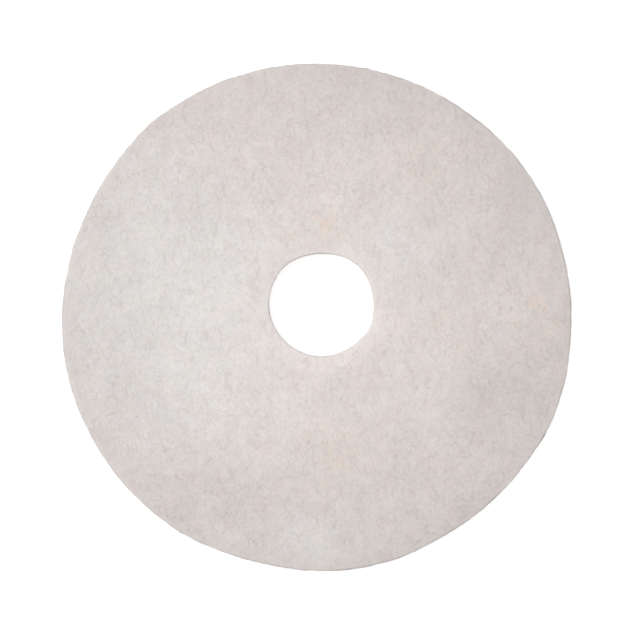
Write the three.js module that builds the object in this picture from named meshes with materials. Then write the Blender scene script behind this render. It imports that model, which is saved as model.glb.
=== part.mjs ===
// A floor polishing pad: one thick disc of lofty bonded fibre with a hole near its centre.
// Millimetres, +Z up. The pad lies flat, with its lower face on z = 0 and its box centred on the origin.
// The disc is die-cut, so its rim and its hole are a little out of round, the hole is a little off
// centre, and both faces fall away in a soft shoulder where the die pinched the loft against the cut.

import * as THREE from 'three';

// The disc, across its widest, and its loft
const padDiameter = 406.4;
const padThickness = 25.4;

// The hole, across its narrowest, and how far its centre lies from the disc's centre
const holeDiameter = 82.6;
const holeOffsetX = 3.7;
const holeOffsetY = 10.3;

// The soft shoulder along the rim: how far it reaches inwards, and how far each face falls there
const rimShoulderWidth = 19;
const rimShoulderDip = 1.0;

// The same along the hole
const holeShoulderWidth = 19;
const holeShoulderDip = 2.4;

// The small round between a shoulder and the cut wall, and how far each wall bellies out at mid-height
const cornerRound = 1.0;
const rimBelly = 0.5;
const holeBelly = 0.3;

// Where the cut wanders off a true circle: at angle (degrees, counter-clockwise from +X) it swells
// by height (mm, negative is a flat) and fades to nothing at halfWidth degrees to either side
const rimSwells = [
  { angle: 338, height: 1.8, halfWidth: 20 },
  { angle: 34, height: 1.0, halfWidth: 24 },
  { angle: 74, height: -0.7, halfWidth: 55 },
  { angle: 131, height: 1.1, halfWidth: 8 },
  { angle: 158, height: -2.0, halfWidth: 38 },
  { angle: 180, height: 1.3, halfWidth: 84 },
  { angle: 257, height: -1.7, halfWidth: 23 },
  { angle: 303, height: -1.2, halfWidth: 18 },
];
const holeSwells = [
  { angle: 336, height: 1.1, halfWidth: 26 },
  { angle: 38, height: 0.5, halfWidth: 17 },
  { angle: 97, height: -1.7, halfWidth: 48 },
  { angle: 123, height: 0.7, halfWidth: 105 },
  { angle: 286, height: -0.5, halfWidth: 50 },
];

// How finely the circles and each curve of the section are cut into facets
const facetsRound = 96;
const facetsPerCurve = 3;

const fibreWhite = new THREE.MeshStandardMaterial({
  name: 'nonwoven_fibre',
  color: 0xd9d2cf,
  roughness: 0.95,
  metalness: 0,
});

// The cut's distance from its circle at an angle in degrees: a sum of raised-cosine swells
function wander(swells, degrees) {
  let sum = 0;
  for (const { angle, height, halfWidth } of swells) {
    const apart = Math.abs(THREE.MathUtils.euclideanModulo(degrees - angle + 180, 360) - 180);
    const share = Math.min(apart / halfWidth, 1);
    sum += height * (1 + Math.cos(Math.PI * share)) / 2;
  }
  return sum;
}

// The section's edge at a cut, as points (inset from the wall's proudest line, height), from the upper
// face's flat down to the lower one's. Each shoulder is a parabola that leaves its face level, a small
// round turns it into the wall, and the wall bellies out to inset 0 at mid-height.
function cutEdge(shoulderWidth, shoulderDip, belly) {
  const roundInset = belly + cornerRound;
  const slopeAtRound = 2 * shoulderDip / (shoulderWidth - roundInset);
  const roundTop = padThickness - shoulderDip;
  const cornerTop = roundTop - slopeAtRound * cornerRound;
  const wallTop = cornerTop - cornerRound;
  const shoulderMiddle = (shoulderWidth + roundInset) / 2;
  const edge = new THREE.Path();
  edge.moveTo(shoulderWidth, padThickness);
  edge.quadraticCurveTo(shoulderMiddle, padThickness, roundInset, roundTop);
  edge.quadraticCurveTo(belly, cornerTop, belly, wallTop);
  edge.quadraticCurveTo(-belly, padThickness / 2, belly, padThickness - wallTop);
  edge.quadraticCurveTo(belly, padThickness - cornerTop, roundInset, padThickness - roundTop);
  edge.quadraticCurveTo(shoulderMiddle, 0, shoulderWidth, 0);
  return edge.getPoints(facetsPerCurve);
}

// The ring's whole section as points (radius, height): up the rim, then down the hole, closed on itself
function ringSection() {
  const rim = cutEdge(rimShoulderWidth, rimShoulderDip, rimBelly)
    .map((point) => new THREE.Vector2(padDiameter / 2 - point.x, point.y))
    .reverse();
  const hole = cutEdge(holeShoulderWidth, holeShoulderDip, holeBelly)
    .map((point) => new THREE.Vector2(holeDiameter / 2 + point.x, point.y));
  return [...rim, ...hole, rim[0].clone()];
}

// Carries each point of the turned ring to where the die really cut: points nearer the hole move
// with the hole's centre and its wander, and points nearer the rim with the rim's
function carryToCuts(geometry) {
  const betweenCuts = (padDiameter + holeDiameter) / 4;
  const place = geometry.attributes.position;
  for (let index = 0; index < place.count; index += 1) {
    const x = place.getX(index);
    const y = place.getY(index);
    const radius = Math.hypot(x, y);
    const angle = Math.atan2(y, x);
    const atHole = radius < betweenCuts;
    const swells = atHole ? holeSwells : rimSwells;
    const reach = radius + wander(swells, THREE.MathUtils.radToDeg(angle));
    place.setX(index, reach * Math.cos(angle) + (atHole ? holeOffsetX : 0));
    place.setY(index, reach * Math.sin(angle) + (atHole ? holeOffsetY : 0));
  }
}

function makePad() {
  const geometry = new THREE.LatheGeometry(ringSection(), facetsRound);
  geometry.rotateX(Math.PI / 2);
  carryToCuts(geometry);
  geometry.computeBoundingBox();
  const middle = geometry.boundingBox.getCenter(new THREE.Vector3());
  geometry.translate(-middle.x, -middle.y, 0);
  geometry.computeVertexNormals();
  const mesh = new THREE.Mesh(geometry, fibreWhite);
  mesh.name = 'polishing_pad';
  return mesh;
}

const pad = new THREE.Group();
pad.name = 'floor_polishing_pad';
pad.add(makePad());

export default pad;
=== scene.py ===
"""A floor polishing pad: a thick disc of lofty bonded fibre with a hole near its centre, die-cut
from a laid web. The loft is one closed skin with the pad's soft shoulders, cut walls and laps, and
loose strands of fibre lie over it as fine closed tubes. Metres, +Z up, the pad lying on z = 0."""

import itertools
import math

import bpy
import numpy as np
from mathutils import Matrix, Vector


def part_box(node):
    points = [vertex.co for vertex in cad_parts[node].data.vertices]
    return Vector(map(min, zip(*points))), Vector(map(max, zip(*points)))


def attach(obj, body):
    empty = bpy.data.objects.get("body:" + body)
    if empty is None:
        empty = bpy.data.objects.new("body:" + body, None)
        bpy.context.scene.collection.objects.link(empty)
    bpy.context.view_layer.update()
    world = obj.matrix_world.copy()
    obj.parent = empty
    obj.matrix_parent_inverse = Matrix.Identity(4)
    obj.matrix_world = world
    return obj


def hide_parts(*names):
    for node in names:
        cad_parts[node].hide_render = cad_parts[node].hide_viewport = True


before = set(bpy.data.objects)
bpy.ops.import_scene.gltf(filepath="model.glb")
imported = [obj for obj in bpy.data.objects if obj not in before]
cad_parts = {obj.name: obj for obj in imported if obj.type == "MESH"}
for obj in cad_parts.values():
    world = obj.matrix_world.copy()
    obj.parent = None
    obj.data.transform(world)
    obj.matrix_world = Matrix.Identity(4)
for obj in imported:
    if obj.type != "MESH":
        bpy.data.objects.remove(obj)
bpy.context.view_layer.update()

MM = 0.001

# The solid that the looks are built around
PAD = "polishing_pad"
BODY = "root"
pad_low, pad_high = (np.array(corner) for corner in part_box(PAD))
THICKNESS = pad_high[2] - pad_low[2]
MID_HEIGHT = THICKNESS / 2

# Which of the solid's corners lie on a cut wall: those within this share of the thickness from
# mid-height. The ones beyond this share of the pad's reach are the rim's, and the rest the hole's.
WALL_CORNERS_WITHIN = 1 / 4
RIM_CORNERS_BEYOND = 1 / 2

# The section at each cut: a soft shoulder, a small round and a wall that bellies out
RIM_SHOULDER, RIM_DIP, RIM_BELLY = 19 * MM, 1.0 * MM, 0.3 * MM
HOLE_SHOULDER, HOLE_DIP, HOLE_BELLY = 19 * MM, 2.4 * MM, 0.3 * MM
CORNER_ROUND = 0.35 * MM

# The loft's skin lies this deep, so that the strands over it reach the pad's real faces and cuts.
# How ragged a cut is scales the unevenness of its wall and how proud its strands stand.
FACE_BED = 0.25 * MM
RIM_BED, RIM_RAGGED = 0.4 * MM, 1.0
HOLE_BED, HOLE_RAGGED = 0.4 * MM, 0.4

# How far the skin, and the strands under the pad, stay above the floor
SKIN_CLEAR = 0.05 * MM
STRAND_CLEAR = 0.02 * MM

# Unevenness of the loft as (grain along X, Y and Z, swing), from broad swells down to small tufts
FACE_SWELLS = (
    ((48 * MM, 60 * MM, 40 * MM), 0.16 * MM),
    ((15 * MM, 21 * MM, 12 * MM), 0.09 * MM),
    ((7 * MM, 9 * MM, 6 * MM), 0.05 * MM),
)
WALL_TUFTS = (
    ((17 * MM, 17 * MM, 2.6 * MM), 0.50 * MM),
    ((6 * MM, 6 * MM, 1.8 * MM), 0.38 * MM),
)
FACE_SEED, WALL_SEED = 11, 23

# The lattice that random swells are read from, and how far each seed shifts it, in cells
LATTICE = (256, 256, 32)
SEED_SHIFT = 0.37

# The laid web's laps, which show on a cut wall as faint seams. A seam waves up and down, with a
# ripple on its wave, and its depth is a mean and a swing round the pad.
LAPS = 6
LAP_DEPTH = 0.7 * MM
LAP_HALF_WIDTH = 0.7 * MM
LAP_WAVE = 1.2 * MM
LAP_RIPPLE = 0.6
LAP_MEAN, LAP_SWING = 0.55, 0.45
WAVE_PHASE, RIPPLE_PHASE = 1.7, 2.9

# How finely the skin is divided
COLUMNS = 548
UPPER_LAND_ROWS = 48
LOWER_LAND_ROWS = 34
SHOULDER_ROWS = 11
ROUND_ROWS = 3
RIM_WALL_ROWS = 28
HOLE_WALL_ROWS = 14

# Strands: how many lie in each piece, their thickness and length, and how a tube is divided
UPPER_STRANDS = 7400
LOWER_STRANDS = 5600
RIM_STRANDS = 7500
HOLE_STRANDS = 1500
STRAND_RADIUS = (0.045 * MM, 0.08 * MM)
STRAND_LENGTH = (7 * MM, 17 * MM)
WALL_LENGTH_SHARE = 0.75
STRAND_POINTS = 5
STRAND_SIDES = 3
END_THINNING = 0.45

# How high a strand's middle lifts off its bed, while its ends dive in, and how much higher the few
# proud ones do
FACE_RISE = (0.02 * MM, 0.15 * MM)
WALL_RISE = (0.05 * MM, 0.32 * MM)
END_DIVE = 0.12 * MM
PROUD_RISE = (0.3 * MM, 1.0 * MM)
FACE_PROUD_SHARE = 0.015
WALL_PROUD_SHARE = 0.08

# How strands head and curl, in radians. On a face, a share of them keeps to the web's run and the
# rest head anywhere, and on a wall they keep to the level. Kinks are a share of the curl.
RUN_SHARE = 0.4
RUN_SPREAD, FACE_CURL = 0.7, 0.35
LEVEL_SPREAD, WALL_CURL = 0.3, 0.3
KINK_SHARE = 0.4

# Where strands keep off: the middles and the points of a face's strands from both cuts, and a
# wall's strands from its corners
MIDDLE_GAP = 3 * MM
POINT_GAP = 1.3 * MM
CORNER_GAP = 0.8 * MM

# Places tried for each strand on a face, of which the first that are clear of the cuts are kept
TRIES = 4

# The range of how much lighter or darker than the loft a strand is, on the faces and on the walls
FACE_TONES = (-0.02, 0.16)
WALL_TONES = (-0.06, 0.24)


def cloud(points, grain, seed):
    """Smooth random values from -1 to 1 at points. Space is cut into cells of the size grain, each
    cell corner has a random value, and a point blends the eight around it by 3 s^2 - 2 s^3 of its
    place in the cell along each axis."""
    table = np.random.default_rng(seed).uniform(-1, 1, LATTICE)
    scaled = points / np.array(grain) + seed * SEED_SHIFT
    cell = np.floor(scaled).astype(int)
    step = scaled - cell
    step = step * step * (3 - 2 * step)
    total = np.zeros(points.shape[:-1])
    for corner in itertools.product((0, 1), repeat=3):
        weight = np.prod(np.where(corner, step, 1 - step), axis=-1)
        x, y, z = np.moveaxis((cell + corner) % LATTICE, -1, 0)
        total += weight * table[x, y, z]
    return total


def swells(points, layers, seed):
    """The sum of several clouds, each with its own grain and swing."""
    return sum(
        swing * cloud(points, grain, seed + turn)
        for turn, (grain, swing) in enumerate(layers)
    )


class CutLine:
    """Where a cut runs: its centre, and its radius at any angle, read from the solid's own wall.
    outwards is 1 where the pad's outside lies beyond the cut, and -1 where it lies within."""

    def __init__(self, corners, shoulder, dip, belly, bed, ragged, outwards):
        low, high = corners.min(0), corners.max(0)
        self.centre = (low + high)[:2] / 2
        arms = corners[:, :2] - self.centre
        angles = np.arctan2(arms[:, 1], arms[:, 0])
        order = np.argsort(angles)
        self.angles = angles[order]
        self.radii = np.hypot(*arms.T)[order]
        self.shoulder, self.dip, self.belly = shoulder, dip, belly
        self.bed, self.ragged, self.outwards = bed, ragged, outwards

    def radius(self, angle):
        """The wall's radius at an angle, straight between the solid's corners."""
        return np.interp(angle, self.angles, self.radii, period=2 * math.pi)

    def plan(self, angle, inset):
        """The point that lies inset from the wall at an angle, seen from above."""
        reach = self.radius(angle) - self.outwards * inset
        arm = np.stack([np.cos(angle), np.sin(angle)], -1)
        return self.centre + reach[..., None] * arm

    def inset(self, points):
        """How far points, seen from above, lie inside the pad from this cut."""
        arms = points - self.centre
        angle = np.arctan2(arms[..., 1], arms[..., 0])
        return self.outwards * (self.radius(angle) - np.hypot(arms[..., 0], arms[..., 1]))

    def fall(self, inset):
        """How far a face has fallen at an inset: a parabola from nothing at the shoulder's inner
        end."""
        share = (self.shoulder - inset) / (self.shoulder - self.belly - CORNER_ROUND)
        return self.dip * np.clip(share, 0, None) ** 2

    def wall_inset(self, height):
        """How far the wall stands back at a height: a parabola from nothing at mid-height."""
        half = MID_HEIGHT - self.dip - CORNER_ROUND
        return self.belly * ((height - MID_HEIGHT) / half) ** 2

    def edge(self, wall_rows):
        """The section's edge as rows of (inset, height), upper face to lower: shoulder, round,
        wall and back, each a bend drawn through a start, a pull and an end. The lower shoulder's
        end is left to the row that follows."""
        round_inset = self.belly + CORNER_ROUND
        slope = 2 * self.dip / (self.shoulder - round_inset)
        round_top = THICKNESS - self.dip
        corner = round_top - slope * CORNER_ROUND
        wall_top = corner - CORNER_ROUND
        wall_foot = THICKNESS - wall_top
        middle = (self.shoulder + round_inset) / 2
        upper = np.concatenate([
            bend((self.shoulder, THICKNESS), (middle, THICKNESS), (round_inset, round_top),
                 SHOULDER_ROWS),
            bend((round_inset, round_top), (self.belly, corner), (self.belly, wall_top),
                 ROUND_ROWS),
        ])
        wall = bend((self.belly, wall_top), (-self.belly, MID_HEIGHT), (self.belly, wall_foot),
                    wall_rows)
        foot = [(self.belly, wall_foot)]
        lower = upper[:0:-1] * (1, -1) + (0, THICKNESS)
        return np.concatenate([upper, wall, foot, lower])


def bend(start, pull, end, rows):
    """A curve from start to end that leaves towards pull and arrives from it: (1-s)^2, 2s(1-s) and
    s^2 of the three points, at evenly spaced s, without the end itself."""
    s = (np.arange(rows) / rows)[:, None]
    return (1 - s) ** 2 * np.array(start) + 2 * s * (1 - s) * np.array(pull) + s * s * np.array(end)


def read_cuts():
    """The rim's and the hole's cut lines, from the solid's corners near mid-height."""
    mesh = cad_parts[PAD].data
    corners = np.empty(len(mesh.vertices) * 3, np.float32)
    mesh.vertices.foreach_get("co", corners)
    corners = corners.reshape(-1, 3).astype(float)
    wall = corners[np.abs(corners[:, 2] - MID_HEIGHT) < THICKNESS * WALL_CORNERS_WITHIN]
    far = np.hypot(wall[:, 0], wall[:, 1]) > pad_high[0] * RIM_CORNERS_BEYOND
    return (
        CutLine(wall[far], RIM_SHOULDER, RIM_DIP, RIM_BELLY, RIM_BED, RIM_RAGGED, 1),
        CutLine(wall[~far], HOLE_SHOULDER, HOLE_DIP, HOLE_BELLY, HOLE_BED, HOLE_RAGGED, -1),
    )


def lap_seams(points):
    """How deep the seams between laps cut into a wall. Each seam is a Gaussian groove about a
    height that waves round the pad, and every seam has its own count of waves, so that no two run
    alike."""
    turn = np.arctan2(points[..., 1], points[..., 0])
    depth = np.zeros(points.shape[:-1])
    for lap in range(1, LAPS):
        wave = np.sin(turn * (2 + lap % 3) + lap * WAVE_PHASE)
        wave = wave + LAP_RIPPLE * np.sin(turn * (7 + lap) + lap * RIPPLE_PHASE)
        height = THICKNESS * lap / LAPS + LAP_WAVE * wave / (1 + LAP_RIPPLE)
        along = LAP_MEAN + LAP_SWING * np.sin(turn * (5 + 2 * lap) + lap)
        depth += along * np.exp(-(((points[..., 2] - height) / LAP_HALF_WIDTH) ** 2))
    return LAP_DEPTH * depth


def face_relief(points):
    """How far the skin stands out from a plain face at points: the loft's swells, less the
    strands' bed."""
    return swells(points, FACE_SWELLS, FACE_SEED) - FACE_BED


def wall_relief(points, ragged, bed):
    """How far the skin stands out from a plain wall at points: ragged times the tufts and the
    seams between laps, less the strands' bed."""
    return ragged * (swells(points, WALL_TUFTS, WALL_SEED) - lap_seams(points)) - bed


def skin_normals(grid):
    """Outward normals of a grid that closes on itself both ways, from its neighbours'
    differences."""
    down = np.roll(grid, -1, 0) - np.roll(grid, 1, 0)
    across = np.roll(grid, -1, 1) - np.roll(grid, 1, 1)
    normal = np.cross(down, across)
    return normal / np.linalg.norm(normal, axis=-1, keepdims=True)


def loft_skin(rim, hole):
    """The whole skin as a grid of points, rows running round the section and columns round the
    pad, and how much of a wall each point is. A row is a share of the way from the hole's cut to
    the rim's, an inset and a height, and a point lies that share along the line between the two
    cuts' points at its column's angle. It then moves along its normal by the relief there, which
    blends from the face's to the wall's by 1 less the square of the normal's Z."""
    rim_edge = rim.edge(RIM_WALL_ROWS)
    hole_edge = hole.edge(HOLE_WALL_ROWS) * (1, -1) + (0, THICKNESS)
    upper = np.arange(UPPER_LAND_ROWS) / UPPER_LAND_ROWS
    lower = np.arange(LOWER_LAND_ROWS) / LOWER_LAND_ROWS
    # Runs of rows as (share, inset at the rim, inset at the hole, height)
    runs = (
        (upper, rim.shoulder, hole.shoulder, THICKNESS),
        (1.0, rim_edge[:, 0], 0.0, rim_edge[:, 1]),
        (1 - lower, rim.shoulder, hole.shoulder, 0.0),
        (0.0, 0.0, hole_edge[:, 0], hole_edge[:, 1]),
    )
    share, rim_inset, hole_inset, height = np.concatenate(
        [np.stack(np.broadcast_arrays(*run)) for run in runs], 1)[..., None]
    turn = np.linspace(0, 2 * math.pi, COLUMNS, endpoint=False)
    turn = np.broadcast_to(turn, (len(share), COLUMNS))
    at_rim = rim.plan(turn, rim_inset)
    at_hole = hole.plan(turn, hole_inset)
    plan = at_hole + share[..., None] * (at_rim - at_hole)
    heights = np.broadcast_to(height[..., None], plan.shape[:2] + (1,))
    grid = np.concatenate([plan, heights], -1)
    normal = skin_normals(grid)
    wallness = 1 - normal[..., 2] ** 2
    ragged = hole.ragged + share * (rim.ragged - hole.ragged)
    bed = hole.bed + share * (rim.bed - hole.bed)
    out = face_relief(grid) * (1 - wallness) + wall_relief(grid, ragged, bed) * wallness
    grid = grid + normal * out[..., None]
    grid[..., 2] = np.clip(grid[..., 2], SKIN_CLEAR, None)
    return grid, wallness


def add_to_scene(name, data):
    """A new object of the scene that holds the data."""
    thing = bpy.data.objects.new(name, data)
    bpy.context.scene.collection.objects.link(thing)
    return thing


def new_piece(name, vertices, quads, finish, shares, triangles=None, flat_map=None):
    """A mesh piece from arrays of corners, smooth all over, in its finish. shares gives named
    values that the finish reads at each corner, and flat_map each corner's place on the piece's
    own UV map."""
    triangles = np.empty((0, 3), int) if triangles is None else triangles
    loops = np.concatenate([quads.ravel(), triangles.ravel()])
    sizes = np.concatenate([np.full(len(quads), 4), np.full(len(triangles), 3)])
    starts = np.concatenate([[0], np.cumsum(sizes)[:-1]])
    mesh = bpy.data.meshes.new(name)
    mesh.vertices.add(len(vertices))
    mesh.vertices.foreach_set("co", vertices.astype(np.float32).ravel())
    mesh.loops.add(len(loops))
    mesh.loops.foreach_set("vertex_index", loops.astype(np.int32))
    mesh.polygons.add(len(sizes))
    mesh.polygons.foreach_set("loop_start", starts.astype(np.int32))
    mesh.polygons.foreach_set("use_smooth", np.ones(len(sizes), bool))
    mesh.update(calc_edges=True)
    mesh.validate()
    if flat_map is not None:
        layer = mesh.uv_layers.new(name="OFBake")
        layer.uv.foreach_set("vector", flat_map[loops].astype(np.float32).ravel())
    for key, values in shares.items():
        layer = mesh.attributes.new(key, "FLOAT", "POINT")
        layer.data.foreach_set("value", values.astype(np.float32))
    mesh.materials.append(finish)
    piece = add_to_scene(name, mesh)
    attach(piece, BODY)
    return piece


def closed_grid(rows, columns):
    """The quads of a grid that closes on itself both ways."""
    row, column = np.meshgrid(np.arange(rows), np.arange(columns), indexing="ij")
    below, after = (row + 1) % rows, (column + 1) % columns
    corners = [(row, column), (below, column), (below, after), (row, after)]
    return np.stack([r * columns + c for r, c in corners], -1).reshape(-1, 4)


def strand_tubes(paths, radii, up):
    """Closed tubes along paths, an array of (strand, point, xyz). Each point carries a ring of
    corners in the plane of its side and up vectors, with a flat side up. A ring's radius falls by
    the cube of the way from the middle to an end, and the end rings are filled."""
    count, points = paths.shape[:2]
    run = np.gradient(paths, axis=1)
    run /= np.linalg.norm(run, axis=-1, keepdims=True)
    side = np.cross(run, up)
    side /= np.linalg.norm(side, axis=-1, keepdims=True)
    rise = np.cross(side, run)
    taper = 1 - END_THINNING * np.abs(np.linspace(-1, 1, points)) ** 3
    around = 2 * math.pi * np.arange(STRAND_SIDES) / STRAND_SIDES - math.pi / 2
    spoke = radii[:, None, None, None] * taper[None, :, None, None]
    ring = np.cos(around)[:, None] * side[:, :, None] + np.sin(around)[:, None] * rise[:, :, None]
    vertices = (paths[:, :, None] + spoke * ring).reshape(-1, 3)
    strand, point, corner = np.meshgrid(
        np.arange(count), np.arange(points - 1), np.arange(STRAND_SIDES), indexing="ij")
    base = (strand * points + point) * STRAND_SIDES
    after = (corner + 1) % STRAND_SIDES
    quads = np.stack([base + corner, base + after, base + STRAND_SIDES + after,
                      base + STRAND_SIDES + corner], -1).reshape(-1, 4)
    first = np.arange(count)[:, None] * points * STRAND_SIDES + np.arange(STRAND_SIDES)[::-1]
    last = first[:, ::-1] + (points - 1) * STRAND_SIDES
    return vertices, quads, np.concatenate([first, last])


def wandering(rng, heading, curl, length):
    """Paths in the plane, from 0, of strands that start at a heading and curl at a steady random
    rate with small kinks: (strand, point, 2)."""
    count = len(heading)
    bends = rng.normal(0, curl, count)[:, None] * np.linspace(-1, 1, STRAND_POINTS - 1)
    bends += rng.normal(0, curl * KINK_SHARE, (count, STRAND_POINTS - 1))
    angle = heading[:, None] + bends
    steps = np.stack([np.cos(angle), np.sin(angle)], -1)
    steps *= (length / (STRAND_POINTS - 1))[:, None, None]
    return np.concatenate([np.zeros((count, 1, 2)), np.cumsum(steps, 1)], 1)


def strand_facts(rng, count, rises, proud_share):
    """Each strand's radius and length, and how high each of its points lifts off the bed: half a
    sine wave that starts and ends below it."""
    radii = rng.uniform(*STRAND_RADIUS, count)
    length = rng.uniform(*STRAND_LENGTH, count)
    arch = np.sin(np.linspace(0, math.pi, STRAND_POINTS))
    proud = rng.random(count) < proud_share
    rise = rng.uniform(*rises, count) + proud * rng.uniform(*PROUD_RISE, count)
    lift = (END_DIVE + rise[:, None]) * arch - END_DIVE
    return radii, length, lift


def strand_tones(rng, count, tones):
    """A random tone from the range for each strand, the same at all its corners."""
    return {"tone": np.repeat(rng.uniform(*tones, count), STRAND_POINTS * STRAND_SIDES)}


def lay_on_face(name, seed, count, rim, hole, upper, finish):
    """Strands laid over a face, many of them along the web's run (Y), each following the face's
    height and drawn back from the cuts. The UV map is the pad's box seen from above."""
    rng = np.random.default_rng(seed)
    radii, length, lift = strand_facts(rng, count, FACE_RISE, FACE_PROUD_SHARE)
    lean = np.where(rng.random(count) < RUN_SHARE, rng.normal(0, RUN_SPREAD, count),
                    rng.uniform(-math.pi / 2, math.pi / 2, count))
    plan = wandering(rng, math.pi / 2 + lean, FACE_CURL, length)
    tries = rng.uniform(pad_low[:2], pad_high[:2], (TRIES * count, 2))
    clear = (rim.inset(tries) > MIDDLE_GAP) & (hole.inset(tries) > MIDDLE_GAP)
    middle = tries[clear][:count]
    plan += (middle - plan.mean(1))[:, None]
    for cut in (rim, hole):
        too_near = np.clip(POINT_GAP - cut.inset(plan), 0, None)
        arm = plan - cut.centre
        arm /= np.linalg.norm(arm, axis=-1, keepdims=True)
        plan = plan - cut.outwards * too_near[..., None] * arm
    drop = rim.fall(rim.inset(plan)) + hole.fall(hole.inset(plan))
    plain = np.concatenate([plan, (THICKNESS - drop if upper else drop)[..., None]], -1)
    out = face_relief(plain) + lift
    height = plain[..., 2] + (out if upper else -out)
    height = np.maximum(height, radii[:, None] + STRAND_CLEAR)
    paths = np.concatenate([plan, height[..., None]], -1)
    vertices, quads, ends = strand_tubes(paths, radii, np.array([0, 0, 1.0]))
    flat_map = np.clip((vertices[:, :2] - pad_low[:2]) / (pad_high[:2] - pad_low[:2]), 0, 1)
    tones = strand_tones(rng, count, FACE_TONES)
    new_piece(name, vertices, quads, finish, tones, ends, flat_map)


def lay_on_wall(name, seed, count, cut, finish):
    """Strands laid round a cut wall, either way and mostly level, as the web lies, and kept off
    its corners. The UV map is the turn round the pad and the height."""
    rng = np.random.default_rng(seed)
    radii, length, lift = strand_facts(rng, count, WALL_RISE, WALL_PROUD_SHARE * cut.ragged)
    heading = rng.normal(0, LEVEL_SPREAD, count) + math.pi * (rng.random(count) < 1 / 2)
    plan = wandering(rng, heading, WALL_CURL, length * WALL_LENGTH_SHARE)
    plan -= plan.mean(1, keepdims=True)
    low, high = cut.dip + CORNER_GAP, THICKNESS - cut.dip - CORNER_GAP
    height = np.clip(rng.uniform(low, high, count)[:, None] + plan[..., 1], low, high)
    turn = rng.uniform(0, 2 * math.pi, count)[:, None] + plan[..., 0] / cut.radii.mean()
    plain = np.concatenate([cut.plan(turn, cut.wall_inset(height)), height[..., None]], -1)
    arm = np.stack([np.cos(turn), np.sin(turn), np.zeros_like(turn)], -1) * cut.outwards
    out = wall_relief(plain, cut.ragged, cut.bed) + cut.ragged * lift
    vertices, quads, ends = strand_tubes(plain + out[..., None] * arm, radii, arm)
    around = np.arctan2(vertices[:, 1] - cut.centre[1], vertices[:, 0] - cut.centre[0])
    flat_map = np.stack([around / (2 * math.pi) + 1 / 2, vertices[:, 2] / THICKNESS], -1)
    tones = strand_tones(rng, count, WALL_TONES)
    new_piece(name, vertices, quads, finish, tones, ends, np.clip(flat_map, 0, 1))


class Signal:
    """A number out of a shader socket. Arithmetic on it adds Math nodes to its finish."""

    def __init__(self, finish, socket):
        self.finish, self.socket = finish, socket

    def reckon(self, operation, *values):
        sockets = dict(enumerate(values))
        return self.finish.node("ShaderNodeMath", {"operation": operation}, sockets)

    def __add__(self, other):
        return self.reckon("ADD", self, other)

    def __radd__(self, other):
        return self.reckon("ADD", other, self)

    def __sub__(self, other):
        return self.reckon("SUBTRACT", self, other)

    def __rsub__(self, other):
        return self.reckon("SUBTRACT", other, self)

    def __mul__(self, other):
        return self.reckon("MULTIPLY", self, other)

    def __rmul__(self, other):
        return self.reckon("MULTIPLY", other, self)

    def clamped(self):
        return self.reckon("MINIMUM", self.reckon("MAXIMUM", self, 0.0), 1.0)

    def ramp(self, start, end):
        """0 at start, 1 at end, and straight between them."""
        return ((self - start) * (1 / (end - start))).clamped()


class Finish:
    """The nodes of a material or of the world, under construction."""

    def __init__(self, holder, shader="Principled BSDF"):
        holder.use_nodes = True
        self.holder = holder
        self.tree = holder.node_tree
        self.shader = self.tree.nodes[shader]

    def feed(self, node, sockets):
        """Gives a node's sockets their values or links, by the sockets' names or numbers."""
        for key, value in sockets.items():
            if isinstance(value, Signal):
                self.tree.links.new(value.socket, node.inputs[key])
            else:
                node.inputs[key].default_value = value

    def node(self, kind, settings, sockets, out=0):
        """Any node: its settings are set first, then its sockets, by values or by links."""
        made = self.tree.nodes.new(kind)
        for key, value in settings.items():
            setattr(made, key, value)
        self.feed(made, sockets)
        return Signal(self, made.outputs[out])

    def place(self, grain, offset=(0.0, 0.0, 0.0)):
        """Object coordinates measured in grains, moved by offset so that patterns don't share a
        lattice."""
        here = self.node("ShaderNodeTexCoord", {}, {}, "Object")
        sockets = {"Vector": here, "Scale": [1 / size for size in grain], "Location": offset}
        return self.node("ShaderNodeMapping", {}, sockets)

    def reach(self):
        """The distance from the pad's middle, seen from above."""
        flat = self.scaled_apart(self.place((1, 1, 1)), (1.0, 1.0, 0.0))
        return self.node("ShaderNodeVectorMath", {"operation": "LENGTH"}, {0: flat}, 1)

    def mottle(self, grain, offset, detail, roughness):
        """Noise about 0, from about -1 to 1, with a grain along X, Y and Z in metres."""
        sockets = {"Vector": self.place(grain, offset), "Scale": 1.0, "Detail": detail,
                   "Roughness": roughness}
        return self.node("ShaderNodeTexNoise", {}, sockets) * 2.0 - 1.0

    def patches(self, table):
        """The sum of soft patches, rows of (X, Y, reach along X, reach along Y, share) in mm. A
        patch is its share in its middle and fades by 3 s^2 - 2 s^3 to nothing at its reach."""
        total = 0.0
        for x, y, reach_x, reach_y, share in table:
            inwards = self.place((reach_x * MM, reach_y * MM, FAR), (-x / reach_x, -y / reach_y, 0))
            ball = self.node("ShaderNodeTexGradient", {"gradient_type": "SPHERICAL"},
                             {"Vector": inwards}, 1)
            total = self.node("ShaderNodeMapRange", {"interpolation_type": "SMOOTHSTEP"},
                              {"Value": ball, "To Max": share}) + total
        return total

    def mix(self, share, first, second):
        """A colour that goes from first to second by share. A Mix node's two colours are its
        sockets 6 and 7, and its mixed colour is its output 2."""
        settings = {"data_type": "RGBA", "clamp_factor": True}
        return self.node("ShaderNodeMix", settings, {0: share, 6: first, 7: second}, 2)

    def scaled(self, colour, share):
        """A colour made lighter or darker by share."""
        return self.node("ShaderNodeVectorMath", {"operation": "SCALE"},
                         {0: colour, "Scale": share})

    def scaled_apart(self, colour, shares):
        """A colour or place with each of its three parts made more or less by its own share."""
        return self.node("ShaderNodeVectorMath", {"operation": "MULTIPLY"}, {0: colour, 1: shares})


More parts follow.
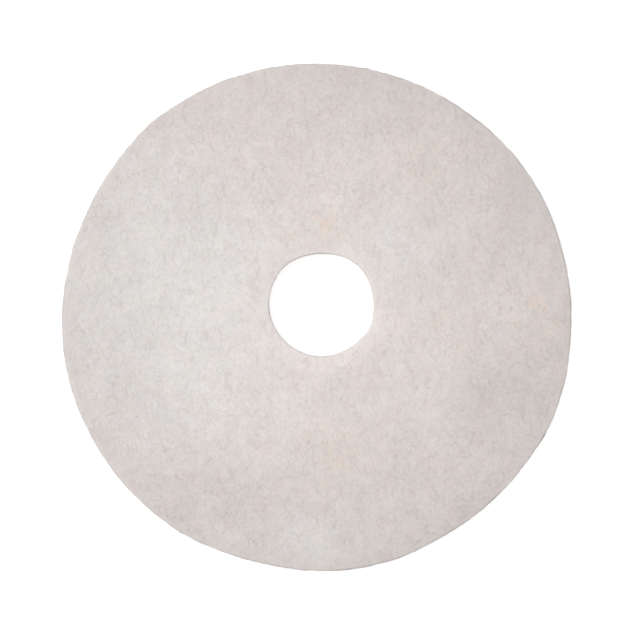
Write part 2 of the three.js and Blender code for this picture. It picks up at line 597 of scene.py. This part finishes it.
# The fibre's mottles as (grain along X, Y and Z, offset, detail, roughness)
CLOUDS = ((44 * MM, 56 * MM, 40 * MM), (0.4, 5.2, 7.7), 5.0, 0.95)
DRIFT = ((14 * MM, 18 * MM, 20 * MM), (3.1, 0.7, 1.9), 3.0, 0.8)
WOOL = ((2.7 * MM, 2.9 * MM, 1.6 * MM), (6.3, 1.8, 2.2), 1.5, 0.7)
TUFTS = ((9 * MM, 10 * MM, 8 * MM), (8.2, 4.4, 0.3), 3.0, 0.6)
COOL_CASTS = ((10 * MM, 12 * MM, 9 * MM), (1.2, 7.3, 6.6), 2.0, 0.5)
LAP_STREAKS = ((16 * MM, 16 * MM, 1.3 * MM), (4.9, 3.3, 8.1), 2.0, 0.5)
MATTING = ((0.8 * MM, 1.5 * MM, 0.6 * MM), (2.6, 9.1, 4.8), 3.0, 0.6)

# A grain so long that a pattern doesn't change along it
FAR = 1000.0

# Fibre colours: clean white, the rosier white of much of the loft, and cream tufts
CLEAN_WHITE = (0.756, 0.722, 0.7007, 1.0)
ROSY_WHITE = (0.767, 0.690, 0.670, 1.0)
CREAM = (0.825, 0.705, 0.620, 1.0)

# How rosy the loft is: a level, soft patches as (X, Y, reach along X, reach along Y, share) in mm,
# and mottles. Cleaner than the level are a wide area towards -X, which is painted cooler light on
# the key lamp's side, a small one beside the hole and a small one at the -Y edge.
ROSY_LEVEL = 0.68
ROSY_AND_PAINTED_COOL_PATCHES = (
    (-120, 20, 130, 170, -0.9),
    (65, 55, 60, 60, -0.5),
    (-5, -180, 70, 40, -0.5),
)
ROSY_BY_CLOUDS, ROSY_BY_DRIFT, ROSY_BY_WOOL = -0.4, 0.7, -0.5

# Where cream tufts gather: a few anywhere, more beside the hole and in loose clusters over the +X
# half. A tuft's cream is its mottle, lifted and made steeper.
CREAM_LEVEL = 0.1
CREAM_PATCHES = (
    (0, 70, 35, 25, 0.9),
    (85, 130, 40, 50, 0.6),
    (180, 0, 40, 60, 0.6),
    (115, -5, 35, 50, 0.6),
    (15, -105, 40, 55, 0.6),
)
TUFT_LIFT, TUFT_STEEPNESS = 0.06, 3.0

# A slightly cooler cast here and there, as shares of red, green and blue
COOLER = (0.984, 1.008, 1.004)
COOL_LEVEL, COOL_STEEPNESS = 0.3, 1.5

# How light the fibre is: a level, soft patches and mottles. The patches are partly painted light
# and shade: the whiter area towards -X is the key lamp's pool painted in, and the two darker clouds
# near the rim towards +X are painted shade away from the lamp. The others make the -Y edge whiter
# and a cloud near the rim towards -X and -Y darker.
LIGHT_LEVEL = 1.006
PAINTED_LIGHT_AND_TONE_PATCHES = (
    (-90, -10, 80, 120, 0.03),
    (-5, -180, 70, 40, 0.06),
    (145, -65, 70, 70, -0.07),
    (160, 100, 50, 80, -0.05),
    (-65, -140, 55, 40, -0.05),
)
LIGHT_BY_CLOUDS, LIGHT_BY_WOOL, LIGHT_BY_LAPS = 0.17, 0.08, 0.03

# Bands by the distance from the pad's middle, each from its start to where it is full: painted
# shade, darker towards the rim, and painted light, whiter towards the hole
RIM_BAND = (184 * MM, 200 * MM)
RIM_PAINTED_SHADE = 0.02
HOLE_BAND = (62 * MM, 42 * MM)
HOLE_PAINTED_LIGHT = 0.06

# Painted light along the cuts: how much whiter the skin is made on its walls to lift their shade,
# and the streaks of laps and wool in it
WALLS_PAINTED_LIGHT = 0.16
WALLS_BY_LAPS, WALLS_BY_WOOL = 0.22, 0.12

# The fibre's gloss and soft sheen, and the skin's matted bump
FIBRE_ROUGHNESS, ROUGHNESS_BY_WOOL = 0.9, 0.08
FIBRE_SPECULAR = 0.15
FIBRE_SHEEN, SHEEN_ROUGHNESS = 0.12, 0.6
BUMP_DISTANCE = 0.14 * MM
BUMP_BY_WOOL, BUMP_BY_MATTING, BUMP_BY_LAPS = 0.35, 0.4, 0.25

# The number of an Attribute node's output that is a single value
ATTRIBUTE_VALUE = 2


def fibre_finish(name, of_strands):
    """Bonded fibre: clean and rosy whites with cream tufts, mottled at every scale from broad
    clouds to single fibres and streaked along the laps on the cut walls. Its colour also carries
    painted light and shade: a cooler, lighter pool towards -X, painted shade towards +X and the
    rim, and painted light towards the hole and on the skin's cut walls. The loft's skin has a
    matted bump, and each strand its own tone."""
    finish = Finish(bpy.data.materials.new(name))
    clouds, drift, wool = (finish.mottle(*facts) for facts in (CLOUDS, DRIFT, WOOL))
    tufts, cool, laps = (finish.mottle(*facts) for facts in (TUFTS, COOL_CASTS, LAP_STREAKS))

    # Rosiness, with the painted cooler light towards -X
    rosy_and_painted_cool = ROSY_LEVEL + finish.patches(ROSY_AND_PAINTED_COOL_PATCHES)
    rosy_and_painted_cool = rosy_and_painted_cool + clouds * ROSY_BY_CLOUDS + drift * ROSY_BY_DRIFT + wool * ROSY_BY_WOOL
    colour = finish.mix(rosy_and_painted_cool.clamped(), CLEAN_WHITE, ROSY_WHITE)
    creamy = (finish.patches(CREAM_PATCHES) + CREAM_LEVEL).clamped()
    tuft = ((tufts + TUFT_LIFT) * TUFT_STEEPNESS).clamped()
    colour = finish.mix(creamy * tuft, colour, CREAM)
    coolness = (cool * COOL_STEEPNESS + COOL_LEVEL).clamped()
    colour = finish.mix(coolness, colour, finish.scaled_apart(colour, COOLER))

    reach = finish.reach()
    hole_band = reach.ramp(*HOLE_BAND)
    # Lightness: painted light and shade from the patches, with the fibre's own mottles
    tone_and_painted_light = LIGHT_LEVEL + finish.patches(PAINTED_LIGHT_AND_TONE_PATCHES)
    tone_and_painted_light = tone_and_painted_light + clouds * LIGHT_BY_CLOUDS + wool * LIGHT_BY_WOOL + laps * LIGHT_BY_LAPS
    # Painted shade towards the rim and painted light towards the hole
    tone_and_painted_light = tone_and_painted_light - reach.ramp(*RIM_BAND) * RIM_PAINTED_SHADE
    tone_and_painted_light = tone_and_painted_light + hole_band * hole_band * HOLE_PAINTED_LIGHT
    # A strand's own tone, or on the skin how much of a wall it is, which becomes painted light
    # along the cuts
    share = finish.node("ShaderNodeAttribute", {"attribute_name": "tone" if of_strands else "wall"},
                        {}, ATTRIBUTE_VALUE)
    if not of_strands:
        share = share * (WALLS_PAINTED_LIGHT + laps * WALLS_BY_LAPS + wool * WALLS_BY_WOOL)
        matting = finish.mottle(*MATTING)
        bumps = wool * BUMP_BY_WOOL + matting * BUMP_BY_MATTING + laps * BUMP_BY_LAPS
        sockets = {"Height": bumps, "Distance": BUMP_DISTANCE, "Strength": 1.0}
        finish.feed(finish.shader, {"Normal": finish.node("ShaderNodeBump", {}, sockets)})
    finish.feed(finish.shader, {
        "Base Color": finish.scaled(colour, tone_and_painted_light + share),
        "Roughness": FIBRE_ROUGHNESS + wool * ROUGHNESS_BY_WOOL,
        "Specular IOR Level": FIBRE_SPECULAR,
        "Sheen Weight": FIBRE_SHEEN,
        "Sheen Roughness": SHEEN_ROUGHNESS,
    })
    return finish.holder


def dress_pad():
    """The loft's skin in place of the solid, and the strands over its faces and cut walls."""
    rim, hole = read_cuts()
    matted = fibre_finish("matted_fibre", of_strands=False)
    loose = fibre_finish("loose_fibre", of_strands=True)
    grid, wallness = loft_skin(rim, hole)
    quads = closed_grid(*grid.shape[:2])
    loft = new_piece("pad_loft", grid.reshape(-1, 3), quads, matted, {"wall": wallness.ravel()})
    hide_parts(PAD)
    for name, seed, count, upper in (
        ("upper_face_strands_a", 101, UPPER_STRANDS, True),
        ("upper_face_strands_b", 102, UPPER_STRANDS, True),
        ("lower_face_strands", 103, LOWER_STRANDS, False),
    ):
        lay_on_face(name, seed, count, rim, hole, upper, loose)
    lay_on_wall("rim_strands", 104, RIM_STRANDS, rim, loose)
    lay_on_wall("hole_strands", 105, HOLE_STRANDS, hole, loose)


# The studio
WHITE = (1.0, 1.0, 1.0, 1.0)
FLOOR_SIZE = 8.0
FLOOR_PALE = (0.84, 0.84, 0.84, 1.0)
FLOOR_GLOW = 0.62
AMBIENT = 0.60


def seen_directly(finish):
    """1 where the camera sees a surface straight, in a reflection or through glass, and 0
    elsewhere."""
    seen = 0.0
    for ray in ("Is Camera Ray", "Is Glossy Ray", "Is Transmission Ray"):
        seen = finish.node("ShaderNodeLightPath", {}, {}, ray) + seen
    return seen.clamped()


def make_floor():
    """A plain pale floor that the pad lies on. It looks white, and keeps the pad's shadow."""
    half = FLOOR_SIZE / 2
    mesh = bpy.data.meshes.new("floor")
    mesh.from_pydata([(-half, -half, 0), (half, -half, 0), (half, half, 0), (-half, half, 0)], [],
                     [(0, 1, 2, 3)])
    finish = Finish(bpy.data.materials.new("pale_floor"))
    finish.feed(finish.shader, {
        "Base Color": FLOOR_PALE,
        "Roughness": 1.0,
        "Specular IOR Level": 0.0,
        "Emission Color": finish.scaled(WHITE[:3], seen_directly(finish) * FLOOR_GLOW),
        "Emission Strength": 1.0,
    })
    mesh.materials.append(finish.holder)
    add_to_scene("floor", mesh)


def make_world():
    """Even light from all round, which is white where it is seen directly."""
    world = bpy.data.worlds.new("studio")
    sky = Finish(world, "Background")
    strength = seen_directly(sky) * (1 - AMBIENT) + AMBIENT
    sky.feed(sky.shader, {"Color": WHITE, "Strength": strength})
    bpy.context.scene.world = world


# The key lamp: a large soft round source, high to the left and a little behind, aimed left of the
# pad's middle
KEY_PLACE = (-1.1, 0.3, 1.75)
KEY_AIM = (-0.03, 0.015, THICKNESS)
KEY_RADIUS = 0.3
KEY_POWER = 128.0
KEY_CONE = 19.3


def make_key_lamp():
    """The key lamp, its cone fading from its axis to its edge."""
    lamp = bpy.data.lights.new("key", "SPOT")
    lamp.energy = KEY_POWER
    lamp.spot_size = math.radians(KEY_CONE)
    lamp.spot_blend = 1.0
    lamp.shadow_soft_size = KEY_RADIUS
    key = add_to_scene("key", lamp)
    away = Vector(KEY_AIM) - Vector(KEY_PLACE)
    key.location = KEY_PLACE
    key.rotation_euler = away.to_track_quat("-Z", "Y").to_euler()


# The camera looks straight down, through a long lens. The photo's frame is 637 pixels wide. The
# pad's upper face is drawn at 509.5 of them across its 406.4 mm, and its box's middle lies a
# little left of and above the frame's middle.
PHOTO_WIDTH = 637.0
PAD_ACROSS = 406.4 * MM
PAD_ACROSS_PIXELS = 509.5
OFF_MIDDLE_PIXELS = (-1.87, 1.3)
LENS = 500.0
SENSOR = 36.0


def make_camera():
    """Straight above, at the distance where the pad fills as many pixels as in the photo."""
    pixel = PAD_ACROSS / PAD_ACROSS_PIXELS
    distance = PHOTO_WIDTH * pixel * LENS / SENSOR
    data = bpy.data.cameras.new("camera")
    data.lens = LENS
    data.sensor_width = SENSOR
    camera = add_to_scene("camera", data)
    left, above = OFF_MIDDLE_PIXELS
    camera.location = (-left * pixel, -above * pixel, THICKNESS + distance)
    bpy.context.scene.camera = camera


make_camera()
make_world()
make_key_lamp()
make_floor()
dress_pad()
bpy.context.scene.view_settings.view_transform = "Standard"
